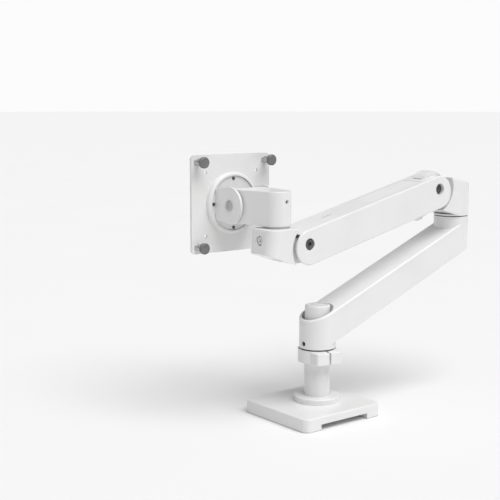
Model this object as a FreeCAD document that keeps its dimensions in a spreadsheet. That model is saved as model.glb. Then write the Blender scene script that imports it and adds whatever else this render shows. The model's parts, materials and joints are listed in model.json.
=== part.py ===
import FreeCAD, Part
import math
import os
import re

import Sketcher

# Desk monitor arm.  Millimetres, +Z up.  The origin is the pole's axis at desk level, which is also the
# axis of the desk bolt's thread.  The lower arm runs from the pole towards -X, the upper arm folds back
# over it towards +X, and the display plate faces -Y.

Vector = FreeCAD.Vector
doc = FreeCAD.newDocument("MonitorArm")

# ---------------------------------------------------------------- driving dimensions

DIMENSIONS = {
    # base: a cast plate on a rubber pad, with a notch at its rear edge for a clamp bracket
    "base_length": 118, "base_width": 114, "base_top": 16, "base_shift": 7, "base_corner": 9,
    "base_edge": 1.6, "base_pad_top": 1.5, "notch_length": 72, "notch_depth": 30, "notch_top": 7.2,
    "insert_radius": 8, "insert_flange": 11, "insert_flange_top": 4, "insert_top": 20, "desk_thread": 4.25,
    # pole
    "pole_radius": 15.3, "pole_wall": 2.5, "pole_foot": 8, "pole_top": 120, "cap_radius": 14.9,
    "cap_top": 132, "flange_radius": 27.8, "flange_top": 23, "flange_screw_circle": 21.5,
    "flange_screw": 2, "flange_screw_head": 4, "clamp_hole": 2.5, "clamp_hole_depth": 12,
    # height collar
    "collar_radius": 22.9, "collar_bottom": 64.5, "collar_top": 79.5, "collar_reach": 29.8,
    "collar_half": 18, "collar_slit": 2.4, "collar_screw_at": 22.5, "collar_turn": -10,
    "collar_bolt": 2.5, "collar_bolt_head": 4.3, "hub_screw": 3, "hub_screw_rise": 6,
    # lower arm
    "hub_radius": 21.6, "hub_bottom": 81.2, "hub_step": 97, "hub_bore_low": 17.4, "hub_bore_top": 18.8,
    "upper_bush_top": 111, "lower_length": 231.6, "lower_slope": 21.7, "lower_top_level": 123.6,
    "lower_bottom_level": 85.3, "elbow_radius": 22, "elbow_top": 223, "elbow_bore": 13,
    "elbow_shaft": 10, "elbow_ledge": 192, "elbow_pocket": 16.5, "running_gap": 0.05,
    # elbow knuckle and the pivots of the parallel linkage
    "pivot_x": -184.85, "pivot_level": 260.8, "link_drop": 14, "knuckle_bottom": 224.2,
    "knuckle_top_back": 264.8, "knuckle_slope": 11.7, "knuckle_disc_top": 226.2, "tongue_half": 12.8,
    "tongue_radius": 13.4, "barrel_radius": 22.2, "barrel_half": 8.8, "anchor_x": 2, "anchor_drop": 9,
    "anchor_half": 9.6, "anchor_pin": 2.5, "slot_half": 6.3,
    # upper arm, drawn along its own pivot line
    "upper_length": 222.6, "upper_slope": 13.5, "upper_width": 44, "upper_rise": 16.5,
    "upper_fall": 24.5, "wall_side": 2.5, "wall_top": 2.5, "pivot_hole": 4.05, "pivot_bolt": 4,
    "boss_radius": 11, "boss_start": 15.4, "recess_floor": 16.9, "rear_recess": 7.3, "front_recess": 6.9,
    "rear_bottom_open": 16, "front_top_open": 10, "front_bottom_open": 12,
    # gas spring on the upper arm's own axes
    "spring_level": 8.15, "spring_radius": 10, "spring_start": 42, "spring_end": 140,
    "spring_eye": 152, "rod_radius": 4, "rod_eye": 4.03,
    # parallel link
    "link_start": 13.1, "link_thickness": 2, "link_half_height": 4.5, "link_eye": 5.5, "link_pin": 3,
    # front knuckle
    "front_x": "=pivot_x + upper_length * cos(upper_slope)",
    "front_level": "=pivot_level - upper_length * sin(upper_slope)", "front_half": 21, "front_end": 90,
    "front_top": 228,
    "front_bottom_end": 200, "front_bottom_arm": 182.3, "front_corner": 12, "front_lean": 3,
    # pan head
    "swivel_x": 62.6, "pan_shaft": 8, "head_bottom": 230.4, "head_top": 270.2, "head_round": 16,
    "head_half": 23, "tilt_y": -54,
    # tilt yoke and display plate
    "tilt_shaft": 5, "ear_inner": 24.2, "ear_thickness": 3, "ear_radius": 21.7, "plate_size": 116,
    "plate_back": -89, "plate_front": -86, "plate_corner": 5, "ring_radius": 36.8,
    "ring_inner": 32.6, "ring_front": -80, "lip_back": -85.6, "lip_front": -84.4, "lip_inner": 31,
    "disc_radius": 32.2, "disc_front": -82, "rotor_radius": 33.4, "rotor_back": -88.6,
    "rotor_screw_circle": 29.3,
    "rear_hollow": 34, "front_hollow": 30.5, "set_screw": 2.4,
    "vesa_large": 100, "vesa_small": 75, "vesa_hole": 2.25, "thumb_radius": 6.7, "thumb_stem": 3.7,
    "thumb_front": -69.5, "thumb_head": 4.2, "thumb_thread": 6, "thumb_shoulder": 2.15,
}

sheet = doc.addObject("Spreadsheet::Sheet", "Dims")
for row, (alias, size) in enumerate(DIMENSIONS.items(), start=1):
    sheet.set("A%d" % row, alias)
    sheet.set("B%d" % row, str(size))
    sheet.setAlias("B%d" % row, alias)
doc.recompute()

ALIAS = re.compile(r"\b[a-z]+(?:_[a-z]+)+\b")


def formula(text):
    """A formula written with bare aliases, as the document's expression language wants it."""
    return ALIAS.sub(lambda found: "Dims." + found.group(0), str(text))


def number(text):
    """The present value of a formula."""
    result = sheet.evalExpression(formula(text))
    return float(getattr(result, "Value", result))


# ---------------------------------------------------------------- drawing helpers

NODES = []
REACH = "700"  # longer than the whole object, for cuts that go right through


def node(label, obj):
    """Name a finished piece and put it on the list of pieces to export."""
    obj.Label = label
    NODES.append(obj)
    return obj


def place(obj, x="0", y="0", z="0", axis=None, angle="0"):
    """Bind an object's place, and its turn about an axis, to the sheet."""
    obj.Placement = FreeCAD.Placement(Vector(0, 0, 0), FreeCAD.Rotation(axis or Vector(0, 0, 1), 1))
    obj.setExpression("Placement.Rotation.Angle", formula(angle))
    for name, text in (("x", x), ("y", y), ("z", z)):
        obj.setExpression("Placement.Base." + name, formula(text))
    return obj


def in_arm(obj):
    """Set a piece drawn on the upper arm's own axes at the rear pivot, at the arm's resting slope."""
    return place(obj, "pivot_x", "0", "pivot_level", Vector(0, 1, 0), "upper_slope")


def cylinder(radius, length, x="0", y="0", z="0", along="z"):
    """A round bar that starts at a point and runs along +X, +Y or +Z."""
    bar = doc.addObject("Part::Cylinder", "Bar")
    bar.setExpression("Radius", formula(radius))
    bar.setExpression("Height", formula(length))
    turn = {"z": (None, "0"), "x": (Vector(0, 1, 0), "90"), "y": (Vector(1, 0, 0), "-90")}[along]
    return place(bar, x, y, z, *turn)


def cone(radius_low, radius_high, length, x="0", y="0", z="0", along="z"):
    """A round taper that starts at a point and runs along +X, +Y or +Z."""
    taper = doc.addObject("Part::Cone", "Taper")
    taper.setExpression("Radius1", formula(radius_low))
    taper.setExpression("Radius2", formula(radius_high))
    taper.setExpression("Height", formula(length))
    turn = {"z": (None, "0"), "x": (Vector(0, 1, 0), "90"), "y": (Vector(1, 0, 0), "-90")}[along]
    return place(taper, x, y, z, *turn)


def hexagon(radius, length, x="0", y="0", z="0", along="z"):
    """A six-sided bar, for hex sockets."""
    prism = doc.addObject("Part::Prism", "Hexagon")
    prism.Polygon = 6
    prism.setExpression("Circumradius", formula(radius))
    prism.setExpression("Height", formula(length))
    turn = {"z": (None, "0"), "x": (Vector(0, 1, 0), "90"), "y": (Vector(1, 0, 0), "-90")}[along]
    return place(prism, x, y, z, *turn)


def fuse(*solids):
    joined = doc.addObject("Part::MultiFuse", "Fuse")
    joined.Shapes = list(solids)
    return joined


def cut(base, *tools):
    result = doc.addObject("Part::Cut", "Cut")
    result.Base = base
    result.Tool = tools[0] if len(tools) == 1 else fuse(*tools)
    return result


def group(*solids):
    """Identical loose pieces that share one node, as separate solids."""
    together = doc.addObject("Part::Compound", "Group")
    together.Links = list(solids)
    return together


def tube(outer, inner, length, x="0", y="0", z="0", along="z"):
    return cut(cylinder(outer, length, x, y, z, along), cylinder(inner, length, x, y, z, along))


def new_body():
    return doc.addObject("PartDesign::Body", "Body")


def sketch_on(body, plane, offset="0"):
    """A sketch on one of the body's own origin planes, moved along that plane's normal."""
    sketch = body.newObject("Sketcher::SketchObject", "Sketch")
    support = [f for f in body.Origin.OriginFeatures if f.Role == plane + "_Plane"][0]
    sketch.AttachmentSupport = [(support, "")]
    sketch.MapMode = "FlatFace"
    sketch.setExpression("AttachmentOffset.Base.z", formula(offset))
    return sketch


def pin_to_origin(sketch, geometry, point, x, y):
    """Hold a point of the sketch at the place that two formulas give."""
    for kind, text in (("DistanceX", x), ("DistanceY", y)):
        index = sketch.addConstraint(Sketcher.Constraint(kind, -1, 1, geometry, point, number(text)))
        sketch.setExpression("Constraints[%d]" % index, formula(text))


def outline(sketch, vertices):
    """A closed outline of straight runs.  A vertex is (x, y) or, with a rounded corner, (x, y, radius)."""
    count = len(vertices)
    points = [Vector(number(v[0]), number(v[1]), 0) for v in vertices]
    starts, ends, middles = list(points), list(points), {}
    for i, vertex in enumerate(vertices):
        if len(vertex) == 3:
            back = (points[i - 1] - points[i]).normalize()
            ahead = (points[(i + 1) % count] - points[i]).normalize()
            radius = number(vertex[2])
            half = back.getAngle(ahead) / 2
            ends[i] = points[i] + back * (radius / math.tan(half))
            starts[i] = points[i] + ahead * (radius / math.tan(half))
            inward = (back + ahead).normalize()
            middles[i] = points[i] + inward * (radius / math.sin(half) - radius)
    lines = [sketch.addGeometry(Part.LineSegment(starts[i], ends[(i + 1) % count])) for i in range(count)]
    for i, vertex in enumerate(vertices):
        before, after = lines[i - 1], lines[i]
        if i in middles:
            arc = sketch.addGeometry(Part.Arc(ends[i], middles[i], starts[i]))
            forward = (sketch.Geometry[arc].StartPoint - ends[i]).Length < 1e-6
            first, last = (1, 2) if forward else (2, 1)
            sketch.addConstraint(Sketcher.Constraint("Tangent", before, 2, arc, first))
            sketch.addConstraint(Sketcher.Constraint("Tangent", arc, last, after, 1))
            index = sketch.addConstraint(Sketcher.Constraint("Radius", arc, number(vertex[2])))
            sketch.setExpression("Constraints[%d]" % index, formula(vertex[2]))
            corner = sketch.addGeometry(Part.Point(points[i]), True)
            sketch.addConstraint(Sketcher.Constraint("PointOnObject", corner, 1, before))
            sketch.addConstraint(Sketcher.Constraint("PointOnObject", corner, 1, after))
            pin_to_origin(sketch, corner, 1, vertex[0], vertex[1])
        else:
            sketch.addConstraint(Sketcher.Constraint("Coincident", before, 2, after, 1))
            pin_to_origin(sketch, after, 1, vertex[0], vertex[1])


def stadium(sketch, x_low, radius_low, x_high, radius_high, y="0"):
    """Two round ends on a line along the sketch's x axis, joined by their outer tangents."""
    low, high = Vector(number(x_low), number(y), 0), Vector(number(x_high), number(y), 0)
    r_low, r_high = number(radius_low), number(radius_high)
    lean = (r_low - r_high) / (high.x - low.x)
    up, down = Vector(lean, math.sqrt(1 - lean ** 2), 0), Vector(lean, -math.sqrt(1 - lean ** 2), 0)
    side = Vector(1, 0, 0)
    bottom = sketch.addGeometry(Part.LineSegment(low + down * r_low, high + down * r_high))
    right = sketch.addGeometry(Part.Arc(high + down * r_high, high + side * r_high, high + up * r_high))
    top = sketch.addGeometry(Part.LineSegment(high + up * r_high, low + up * r_low))
    left = sketch.addGeometry(Part.Arc(low + up * r_low, low - side * r_low, low + down * r_low))
    sketch.addConstraint(Sketcher.Constraint("Tangent", bottom, 2, right, 1))
    sketch.addConstraint(Sketcher.Constraint("Tangent", right, 2, top, 1))
    sketch.addConstraint(Sketcher.Constraint("Tangent", top, 2, left, 1))
    sketch.addConstraint(Sketcher.Constraint("Tangent", left, 2, bottom, 1))
    for arc, x, radius in ((left, x_low, radius_low), (right, x_high, radius_high)):
        pin_to_origin(sketch, arc, 3, x, y)
        index = sketch.addConstraint(Sketcher.Constraint("Radius", arc, number(radius)))
        sketch.setExpression("Constraints[%d]" % index, formula(radius))


def circle(sketch, x, y, radius):
    ring = sketch.addGeometry(Part.Circle(Vector(number(x), number(y), 0), Vector(0, 0, 1), number(radius)))
    pin_to_origin(sketch, ring, 3, x, y)
    index = sketch.addConstraint(Sketcher.Constraint("Radius", ring, number(radius)))
    sketch.setExpression("Constraints[%d]" % index, formula(radius))


def pad(body, sketch, length, symmetric=False):
    """Add the sketch's area, along its plane's normal or to both sides of the plane."""
    feature = body.newObject("PartDesign::Pad", "Pad")
    feature.Profile = sketch
    feature.SideType = "Symmetric" if symmetric else "One side"
    feature.setExpression("Length", formula(length))
    doc.recompute()
    return feature


def pocket(body, sketch, length=REACH, symmetric=True, reverse=False):
    """Remove the sketch's area.  A cut that takes nothing away is an error."""
    before = body.Shape.Volume
    feature = body.newObject("PartDesign::Pocket", "Pocket")
    feature.Profile = sketch
    feature.SideType = "Symmetric" if symmetric else "One side"
    feature.Reversed = reverse
    feature.setExpression("Length", formula(length))
    doc.recompute()
    if not body.Shape.Volume < before - 1e-6:
        raise RuntimeError("a pocket removes nothing after %.3f mm3" % before)
    return feature


def pad_outline(body, plane, vertices, length, offset="0", symmetric=False):
    sketch = sketch_on(body, plane, offset)
    outline(sketch, vertices)
    return pad(body, sketch, length, symmetric)


def pad_circle(body, plane, x, y, radius, length, offset="0", symmetric=False):
    sketch = sketch_on(body, plane, offset)
    circle(sketch, x, y, radius)
    return pad(body, sketch, length, symmetric)


def cut_outline(body, plane, vertices, length=REACH, offset="0", symmetric=True, reverse=False):
    sketch = sketch_on(body, plane, offset)
    outline(sketch, vertices)
    return pocket(body, sketch, length, symmetric, reverse)


def cut_circles(body, plane, centres, radius, length=REACH, offset="0", symmetric=True, reverse=False):
    sketch = sketch_on(body, plane, offset)
    for x, y in centres:
        circle(sketch, x, y, radius)
    return pocket(body, sketch, length, symmetric, reverse)


def trim(body, plane, vertices):
    """Cut away everything that lies outside an outline, right through the body."""
    sketch = sketch_on(body, plane)
    far = "400"
    outline(sketch, [("-" + far, "-" + far), (far, "-" + far), (far, far), ("-" + far, far)])
    outline(sketch, vertices)
    return pocket(body, sketch)


def round_edges(body, radius, chosen):
    """Round the edges of the body's present shape that a test picks."""
    tip = body.Tip
    names = ["Edge%d" % (i + 1) for i, edge in enumerate(tip.Shape.Edges) if chosen(edge)]
    if not names:
        raise RuntimeError("no edge to round")
    feature = body.newObject("PartDesign::Fillet", "Fillet")
    feature.Base = (tip, names)
    feature.setExpression("Radius", formula(radius))
    doc.recompute()
    if not feature.isValid() or feature.Shape.isNull():
        raise RuntimeError("rounding %d edges by %s failed" % (len(names), radius))
    return feature


def lies(edge, **bounds):
    """Whether an edge's box stays within limits such as z=(low, high)."""
    box = edge.BoundBox
    slack = 0.01
    return all(getattr(box, k.upper() + "Min") >= low - slack and getattr(box, k.upper() + "Max") <= high + slack
               for k, (low, high) in bounds.items())


def on_slope(edge, level):
    """Whether both ends and the middle of an edge lie on a face whose height at x is level(x)."""
    middle = edge.valueAt((edge.FirstParameter + edge.LastParameter) / 2)
    points = [v.Point for v in edge.Vertexes] + [middle]
    return all(abs(p.z - level(p.x)) < 0.01 for p in points)


def rectangle(x_low, x_high, y_low, y_high, radius=None):
    corners = [(x_low, y_low), (x_high, y_low), (x_high, y_high), (x_low, y_high)]
    return [c + (radius,) for c in corners] if radius else corners


# ---------------------------------------------------------------- base and pole

BASE_PLAN = ("base_shift - base_length / 2", "base_shift + base_length / 2", "-base_width / 2",
             "base_width / 2")
NOTCH_PLAN = [("base_shift - notch_length / 2", "base_width / 2 - notch_depth", "4"),
              ("base_shift + notch_length / 2", "base_width / 2 - notch_depth", "4"),
              ("base_shift + notch_length / 2", "base_width"),
              ("base_shift - notch_length / 2", "base_width")]
FLANGE_SCREWS = [(90 * i + 45) for i in range(4)]
CLAMP_HOLES = [("base_shift + %d" % x, "%d" % y) for x in (-40, 40) for y in (-40, 0)]


def on_circle(radius, angle):
    return ("%s * cos(%g)" % (radius, angle), "%s * sin(%g)" % (radius, angle))


def make_base_plate():
    body = new_body()
    pad_outline(body, "XY", rectangle(*BASE_PLAN, "base_corner"), "base_top - base_pad_top", "base_pad_top")
    top = number("base_top")
    round_edges(body, "base_edge", lambda e: lies(e, z=(top, top)))
    cut_outline(body, "XY", NOTCH_PLAN, "notch_top", symmetric=False, reverse=True)
    cut_circles(body, "XY", [("0", "0")], "pole_radius", "20", "pole_foot", symmetric=False, reverse=True)
    cut_circles(body, "XY", [("0", "0")], "insert_radius")
    cut_circles(body, "XY", [("0", "0")], "insert_flange", "insert_flange_top", symmetric=False, reverse=True)
    screws = [on_circle("flange_screw_circle", a) for a in FLANGE_SCREWS]
    cut_circles(body, "XY", screws, "flange_screw + 0.1")
    cut_circles(body, "XY", screws, "flange_screw_head + 0.2", "4.7", symmetric=False, reverse=True)
    cut_circles(body, "XY", CLAMP_HOLES, "clamp_hole", "clamp_hole_depth", symmetric=False, reverse=True)
    return node("base_plate", body)


def make_base_pad():
    body = new_body()
    pad_outline(body, "XY", rectangle(*BASE_PLAN, "base_corner"), "base_pad_top")
    cut_outline(body, "XY", NOTCH_PLAN)
    cut_circles(body, "XY", [("0", "0")], "insert_flange + 0.5")
    cut_circles(body, "XY", [on_circle("flange_screw_circle", a) for a in FLANGE_SCREWS],
                "flange_screw_head + 0.6")
    cut_circles(body, "XY", CLAMP_HOLES, "clamp_hole + 0.7")
    return node("base_pad", body)


def make_desk_insert():
    flange = cylinder("insert_flange", "insert_flange_top - base_pad_top", z="base_pad_top")
    shank = cylinder("insert_radius", "insert_top - insert_flange_top", z="insert_flange_top")
    return node("desk_bolt_insert", cut(fuse(flange, shank), cylinder("desk_thread", "insert_top")))


def make_pole_flange():
    body = new_body()
    sketch = sketch_on(body, "XY", "base_top")
    circle(sketch, "0", "0", "flange_radius")
    circle(sketch, "0", "0", "pole_radius")
    pad(body, sketch, "flange_top - base_top")
    top, radius = number("flange_top"), number("flange_radius")
    round_edges(body, "1.4", lambda e: lies(e, z=(top, top)) and e.BoundBox.XMax > radius - 0.1)
    screws = [on_circle("flange_screw_circle", a) for a in FLANGE_SCREWS]
    cut_circles(body, "XY", screws, "flange_screw", "5", "base_top", symmetric=False, reverse=True)
    return node("pole_flange", body)


def make_flange_screws():
    screws = []
    for angle in FLANGE_SCREWS:
        x, y = on_circle("flange_screw_circle", angle)
        head = cylinder("flange_screw_head", "3", x, y, "base_pad_top")
        shank = cylinder("flange_screw", "16.3", x, y, "base_pad_top + 3")
        screws.append(cut(fuse(head, shank), hexagon("1.6", "2", x, y, "base_pad_top")))
    return node("flange_screws", group(*screws))


def make_pole():
    return node("pole", tube("pole_radius", "pole_radius - pole_wall", "pole_top - pole_foot", z="pole_foot"))


def make_pole_cap():
    body = new_body()
    pad_circle(body, "XY", "0", "0", "cap_radius", "cap_top - pole_top", "pole_top")
    top = number("cap_top")
    round_edges(body, "1.8", lambda e: lies(e, z=(top, top)))
    cut_circles(body, "XY", [("0", "0")], "cap_radius - 3", "0.8", "cap_top", symmetric=False)
    pad_circle(body, "XY", "0", "0", "pole_radius - pole_wall", "12", "pole_top - 12")
    return node("pole_cap", body)


# ---------------------------------------------------------------- height collar

def make_height_collar():
    body = new_body()
    pad_circle(body, "XY", "0", "0", "collar_radius", "collar_top - collar_bottom", "collar_bottom")
    block = rectangle("-collar_half", "collar_half", "0", "collar_reach")
    block[2] += ("3",)
    block[3] += ("3",)
    pad_outline(body, "XY", block, "collar_top - collar_bottom - 1", "collar_bottom + 0.5")
    reach = number("collar_reach")
    round_edges(body, "1", lambda e: lies(e, y=(reach, reach)) and e.BoundBox.ZLength < 0.1)
    cut_circles(body, "XY", [("0", "0")], "pole_radius")
    cut_outline(body, "XY", rectangle("-collar_slit / 2", "collar_slit / 2", "0", "collar_reach + 5"))
    middle = "(collar_bottom + collar_top) / 2"
    cut_circles(body, "YZ", [("collar_screw_at", middle)], "collar_bolt + 0.1", "2 * collar_half - 6", "-3")
    cut_circles(body, "YZ", [("collar_screw_at", middle)], "collar_bolt_head + 0.3", "20", "-collar_half + 6",
                symmetric=False)
    return node("height_collar", place(body, angle="collar_turn"))


def make_collar_screw():
    middle = "(collar_bottom + collar_top) / 2"
    inner = "-collar_half + 6"
    shank = cylinder("collar_bolt", "2 * collar_half - 12", inner, "collar_screw_at", middle, "x")
    head = cylinder("collar_bolt_head", "5", "-collar_half + 1", "collar_screw_at", middle, "x")
    socket = hexagon("2.3", "3", "-collar_half + 1", "collar_screw_at", middle, "x")
    return node("collar_screw", place(cut(fuse(shank, head), socket), angle="collar_turn"))


def make_thrust_washer():
    return node("thrust_washer", tube("hub_radius - 1.5", "pole_radius + running_gap",
                                      "hub_bottom - collar_top", z="collar_top"))


# ---------------------------------------------------------------- lower arm

LOWER_TOP = "(lower_top_level - tan(lower_slope) * (%s))"
LOWER_BOTTOM = "(lower_bottom_level - tan(lower_slope) * (%s))"


def sloped_run(level, x_low, x_high, away):
    """The region above (away 150) or below (away -150) one of the lower arm's sloping faces."""
    low, high = level % x_low, level % x_high
    return [(x_low, low), (x_high, high),
            (x_high, "%s + (%s)" % (high, away)), (x_low, "%s + (%s)" % (low, away))]


def make_lower_arm():
    body = new_body()
    plan = sketch_on(body, "XY", "hub_bottom")
    stadium(plan, "-lower_length", "elbow_radius", "0", "hub_radius")
    pad(body, plan, "200")
    cut_outline(body, "XY", rectangle("-lower_length - 60", "-lower_length", "-40", "40"))
    cut_outline(body, "XZ", sloped_run(LOWER_TOP, "-300", "60", "220"))
    fall, top = number("tan(lower_slope)"), number("lower_top_level")
    round_edges(body, "2.2", lambda e: on_slope(e, lambda x: top - fall * x) and e.BoundBox.XLength > 10)
    pad_circle(body, "XY", "-lower_length", "0", "elbow_radius", "elbow_top - 140", "140")
    cut_outline(body, "XZ", sloped_run(LOWER_BOTTOM, "-300", "60", "-220"))
    pad_circle(body, "XY", "0", "0", "hub_radius", "24", "hub_bottom")
    # the beam is a channel, open underneath, with a floor at each hub
    inner_top = LOWER_TOP.replace("lower_top_level", "lower_top_level - 4")
    channel = [("-lower_length + elbow_radius + 2",
                LOWER_BOTTOM % "-lower_length + elbow_radius + 2" + " - 20"),
               ("-hub_radius - 2", LOWER_BOTTOM % "-hub_radius - 2" + " - 20"),
               ("-hub_radius - 2", inner_top % "-hub_radius - 2"),
               ("-lower_length + elbow_radius + 2", inner_top % "-lower_length + elbow_radius + 2")]
    cut_outline(body, "XZ", channel, "2 * hub_radius - 7")
    cut_circles(body, "XY", [("0", "0")], "hub_bore_low")
    cut_circles(body, "XY", [("0", "0")], "hub_bore_top", "60", "hub_step", symmetric=False, reverse=True)
    cut_circles(body, "XY", [("-lower_length", "0")], "elbow_bore")
    cut_circles(body, "XY", [("-lower_length", "0")], "elbow_pocket", "60", "elbow_ledge", symmetric=False)
    cut_circles(body, "YZ", [("0", "hub_bottom + hub_screw_rise")], "hub_screw", "40", symmetric=False,
                reverse=True)
    return node("lower_arm", body)


def make_hub_bushes():
    node("hub_bush_lower", tube("hub_bore_low", "pole_radius + running_gap", "hub_step - hub_bottom",
                                z="hub_bottom"))
    node("hub_bush_upper", tube("hub_bore_top", "pole_radius + running_gap", "upper_bush_top - hub_step",
                                z="hub_step"))


def make_hub_screw():
    level = "hub_bottom + hub_screw_rise"
    screw = cylinder("hub_screw", "hub_radius - hub_bore_low - 1", "hub_bore_low", "0", level, "x")
    socket = hexagon("hub_screw * 0.57", "3", "hub_bore_low + 1", "0", level, "x")
    return node("hub_set_screw", cut(screw, socket))


def make_lower_cover():
    """The clip-in cover that closes the channel from below and holds the cables."""
    body = new_body()
    low, high = "-lower_length + elbow_radius + 2.3", "-hub_radius - 2.3"
    strip = [(low, LOWER_BOTTOM % low), (high, LOWER_BOTTOM % high),
             (high, LOWER_BOTTOM % high + " + 2.2"), (low, LOWER_BOTTOM % low + " + 2.2")]
    pad_outline(body, "XZ", strip, "2 * hub_radius - 7.6", symmetric=True)
    # two clips that stand up inside the channel
    for share in (0.3, 0.7):
        x = "-lower_length * %g" % share
        clip = [(x + " - 6", LOWER_BOTTOM % x + " + 1"), (x + " + 6", LOWER_BOTTOM % x + " + 1"),
                (x + " + 6", LOWER_BOTTOM % x + " + 20"), (x + " - 6", LOWER_BOTTOM % x + " + 20")]
        pad_outline(body, "XZ", clip, "2 * hub_radius - 12", symmetric=True)
    elbow_end, hub_end = LOWER_BOTTOM % "-lower_length", LOWER_BOTTOM % "0"
    inner = [("-lower_length", elbow_end + " + 2.2"), ("0", hub_end + " + 2.2"),
             ("0", hub_end + " + 60"), ("-lower_length", elbow_end + " + 60")]
    cut_outline(body, "XZ", inner, "2 * hub_radius - 15")
    return node("lower_cable_cover", body)


def make_elbow_bushes():
    node("elbow_bush_upper", tube("elbow_bore", "elbow_shaft + running_gap", "12", "-lower_length", "0",
                                  "elbow_top - 12"))
    node("elbow_bush_lower", tube("elbow_bore", "elbow_shaft + running_gap", "12", "-lower_length", "0",
                                  "elbow_ledge"))


# ---------------------------------------------------------------- elbow knuckle

def make_elbow_knuckle():
    body = new_body()
    plan = sketch_on(body, "XY", "knuckle_bottom")
    stadium(plan, "-lower_length", "elbow_radius", "-lower_length + 45", "elbow_radius")
    pad(body, plan, "80")
    back = "(-lower_length - elbow_radius)"
    top = "(knuckle_top_back + tan(knuckle_slope) * (%s + lower_length + elbow_radius))"
    cut_outline(body, "XZ", [(back + " - 10", top % (back + " - 10")), ("-100", top % "(-100)"),
                             ("-100", "340"), (back + " - 10", "340")])
    rise, level, start = number("tan(knuckle_slope)"), number("knuckle_top_back"), number(back)
    round_edges(body, "2.4", lambda e: on_slope(e, lambda x: level + rise * (x - start)))
    # the lower edge rises towards the arm, above the thin disc that turns on the lower arm
    cut_outline(body, "XZ", [("-lower_length + 6", "knuckle_bottom - 5"), ("-100", "knuckle_bottom - 5"),
                             ("-100", "knuckle_bottom + tan(16) * (lower_length - 106)"),
                             ("-lower_length + 6", "knuckle_bottom")])
    # a hollow that the arm's round end sweeps past
    cut_circles(body, "XZ", [("pivot_x + 8.8", "pivot_level + 1.8")], "rear_hollow")
    pad_circle(body, "XY", "-lower_length", "0", "elbow_radius", "knuckle_disc_top - knuckle_bottom",
               "knuckle_bottom")
    # tongue that carries both rear pivots, and the narrower barrel that fills the notch in the arm's top
    bridge = [("-lower_length + 12", "pivot_level - 22"), ("pivot_x", "pivot_level - 22"),
              ("pivot_x", "pivot_level + 3"), ("-lower_length + 12", "pivot_level + 3")]
    pad_outline(body, "XZ", bridge, "2 * tongue_half", symmetric=True)
    pad_circle(body, "XZ", "pivot_x", "pivot_level", "tongue_radius", "2 * tongue_half", symmetric=True)
    foot = [("pivot_x - 9", "pivot_level - 22"), ("pivot_x + 9", "pivot_level - 22", "8"),
            ("pivot_x + 9", "pivot_level"), ("pivot_x - 9", "pivot_level")]
    pad_outline(body, "XZ", foot, "2 * tongue_half", symmetric=True)
    pad_circle(body, "XZ", "pivot_x", "pivot_level", "barrel_radius", "2 * barrel_half", symmetric=True)
    cut_circles(body, "XZ", [("pivot_x", "pivot_level")], "pivot_bolt")
    cut_circles(body, "XZ", [("pivot_x", "pivot_level - link_drop")], "link_pin")
    cut_circles(body, "XZ", [("pivot_x + anchor_x", "pivot_level - anchor_drop")], "anchor_pin")
    slot = [("pivot_x - 8", "pivot_level - 40"), ("pivot_x + 30", "pivot_level - 40"),
            ("pivot_x + 30", "pivot_level + 19.2"), ("pivot_x - 8", "pivot_level - 1")]
    cut_outline(body, "XZ", slot, "2 * slot_half")
    cut_circles(body, "XY", [("-lower_length", "0")], "elbow_shaft", "elbow_ledge + 61 - knuckle_bottom",
                "knuckle_bottom - 1", symmetric=False, reverse=True)
    return node("elbow_knuckle", body)


def make_elbow_shaft():
    x = "-lower_length"
    shaft = cylinder("elbow_shaft", "60.2", x, "0", "elbow_ledge - 0.2")
    return node("elbow_shaft", cut(shaft, cylinder("4", "16", x, "0", "elbow_ledge - 0.2")))


def make_elbow_lock():
    x = "-lower_length"
    node("elbow_friction_washer", tube("elbow_radius - 1.6", "elbow_shaft", "knuckle_bottom - elbow_top", x,
                                       "0", "elbow_top"))
    node("elbow_lock_washer", tube("15", "4", "1.6", x, "0", "elbow_ledge - 1.8"))
    head = cylinder("6.5", "6", x, "0", "elbow_ledge - 7.8")
    shank = cylinder("4", "15", x, "0", "elbow_ledge - 1.8")
    node("elbow_lock_screw", cut(fuse(head, shank), hexagon("3", "3.5", x, "0", "elbow_ledge - 7.8")))


def both_sides(make):
    """The same piece on the +Y and the -Y side: make is given the side's sign."""
    return group(make(""), make("-"))


def side_bar(radius, near, far, x, z, sign):
    """A round bar along Y between two distances from the middle plane, on one side."""
    return cylinder(radius, "%s - (%s)" % (far, near), x, near if not sign else "-(%s)" % far, z, "y")


def pivot_bolts(label, x, z, head_radius, head_top, hexed):
    """Shoulder bolts, one from each side, whose heads lie in the arm's recesses."""
    def one(sign):
        shank = side_bar("pivot_bolt", "slot_half + 0.7", "recess_floor", x, z, sign)
        head = side_bar(head_radius, "recess_floor", head_top, x, z, sign)
        depth = "2.5" if hexed else "0.5"
        y = "%s - %s" % (head_top, depth) if not sign else "-(%s)" % head_top
        drive = hexagon("2.9", depth, x, y, z, "y") if hexed else cylinder("2.4", depth, x, y, z, "y")
        return cut(fuse(shank, head), drive)
    return node(label, both_sides(one))


def make_rear_pivots():
    pivot_bolts("rear_pivot_bolts", "pivot_x", "pivot_level", "rear_recess - 0.3", "17.8", False)
    reach = "link_start + link_thickness + 0.2"
    node("rear_link_pins", both_sides(lambda side: side_bar(
        "link_pin", "anchor_half + 0.3", reach, "pivot_x", "pivot_level - link_drop", side)))
    node("spring_anchor_pin", cylinder(
        "anchor_pin", "2 * anchor_half", "pivot_x + anchor_x", "-anchor_half", "pivot_level - anchor_drop",
        "y"))


# ---------------------------------------------------------------- upper arm

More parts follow.
